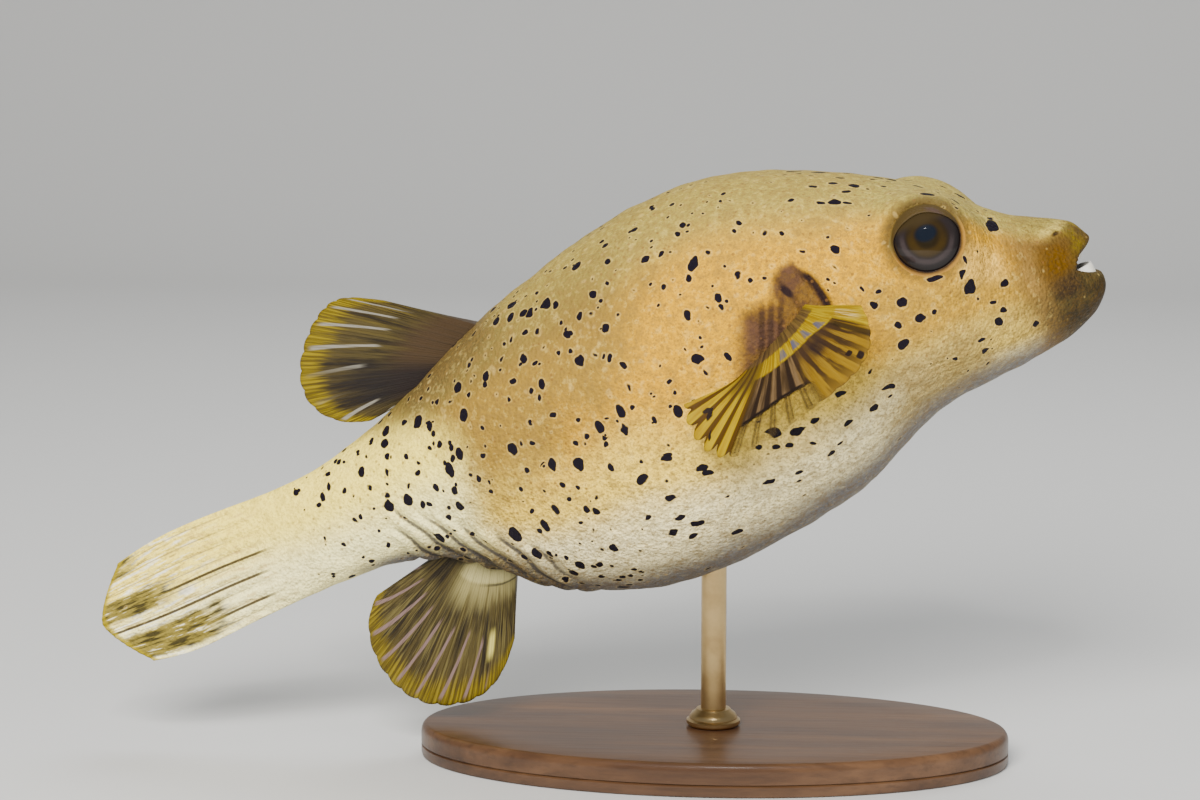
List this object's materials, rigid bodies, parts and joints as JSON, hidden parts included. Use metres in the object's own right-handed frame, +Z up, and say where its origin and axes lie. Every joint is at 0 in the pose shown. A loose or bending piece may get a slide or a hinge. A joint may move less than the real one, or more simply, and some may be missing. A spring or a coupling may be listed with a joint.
{
  "type": "blackspotted puffer",
  "caption": "Still life-size model of a spotted pufferfish swimming nose up, parted into named lengths, on an oval base with one rod.",
  "frame": {"origin": "centre of the stand base's underside, on the surface that the model stands on", "axes": "+X towards the fish's head, +Y towards its left side, +Z up"},
  "size_m": [0.2379, 0.1154, 0.1407],
  "materials": {
    "spotted_skin": "soft matte skin, tan yellow with near-black spots, paler below",
    "tail_membrane": "thin cream fin with dark ray lines and a yellow edge",
    "fin_membrane": "thin olive-brown fin with a yellow edge and pale windows",
    "pectoral_membrane": "thin yellow fin with brown streaks and clear windows",
    "eye": "wet gloss, dark iris with a gold-brown ring",
    "tooth": "smooth ivory",
    "stand_wood": "satin dark walnut",
    "stand_metal": "brushed brass"
  },
  "bodies": {
    "root": {"head": "spotted_skin", "snout": "spotted_skin", "lower_jaw": "spotted_skin", "trunk": "spotted_skin", "tail_stalk": "spotted_skin", "tail_fin": "tail_membrane", "dorsal_fin": "fin_membrane", "anal_fin": "fin_membrane", "pectoral_fin_left": "pectoral_membrane", "pectoral_fin_right": "pectoral_membrane", "eye_left": "eye", "eye_right": "eye", "teeth_upper": "tooth", "teeth_lower": "tooth", "stand_base": "stand_wood", "stand_rod": "stand_metal", "stand_collar": "stand_metal"}
  },
  "joints": []
}
